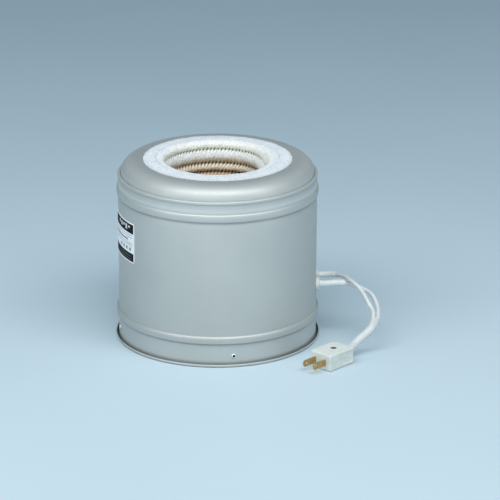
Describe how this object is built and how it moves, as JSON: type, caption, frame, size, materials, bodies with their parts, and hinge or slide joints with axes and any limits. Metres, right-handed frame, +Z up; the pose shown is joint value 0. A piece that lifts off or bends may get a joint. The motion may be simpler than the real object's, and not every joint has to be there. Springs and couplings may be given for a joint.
{
  "type": "heating mantle",
  "caption": "Round laboratory heating mantle for a flask: beaded metal drum, domed cover, soft glass-cloth collar, ribbed heater bowl, and a flat-bladed mains plug on sleeved leads.",
  "frame": {"origin": "on the floor, under the drum's axis", "axes": "+Z up along the drum's axis, -Y the drum's front, +X the side where the leads leave"},
  "size_m": [0.2623, 0.2218, 0.1827],
  "materials": {
    "drum_metal": "satin grey metallic coat over spun sheet",
    "rivet_metal": "plain blind rivets",
    "glass_tape": "white woven glass tape, wound",
    "heater_cloth": "white glass cloth, tanned by heat lower down",
    "glass_wool": "packed glass fibre",
    "fibre_board": "pressed ceramic fibre board",
    "heater_sleeving": "braided glass sleeving",
    "crimp_metal": "tinned copper",
    "bushing_plastic": "moulded off-white plastic",
    "ring_steel": "spring steel",
    "exit_tube": "off-white tubing",
    "lead_sleeving": "white sleeved wire",
    "joint_tube": "white shrunk tubing",
    "plug_plastic": "moulded ivory plastic",
    "blade_brass": "dull brass",
    "screw_metal": "small steel screws",
    "plate_foil": null
  },
  "bodies": {
    "root": {"base_plate": "drum_metal", "base_rivets": "rivet_metal", "blade_left": "blade_brass", "blade_right": "blade_brass", "bushing_front": "bushing_plastic", "bushing_rear": "bushing_plastic", "collar": "glass_tape", "crimp_front": "crimp_metal", "crimp_rear": "crimp_metal", "drum_shell": "drum_metal", "exit_sleeve_front": "exit_tube", "exit_sleeve_rear": "exit_tube", "heater_bowl": "heater_cloth", "heater_tail_front": "heater_sleeving", "heater_tail_rear": "heater_sleeving", "insulation_board": "fibre_board", "insulation_fill": "glass_wool", "joint_sleeve": "joint_tube", "lead_front": "lead_sleeving", "lead_rear": "lead_sleeving", "nameplate": "plate_foil", "plug_base": "plug_plastic", "plug_cover": "plug_plastic", "plug_nut": "screw_metal", "plug_screw": "screw_metal", "push_ring_front": "ring_steel", "push_ring_rear": "ring_steel", "terminal_screws": "screw_metal", "top_cover": "drum_metal"}
  },
  "joints": []
}
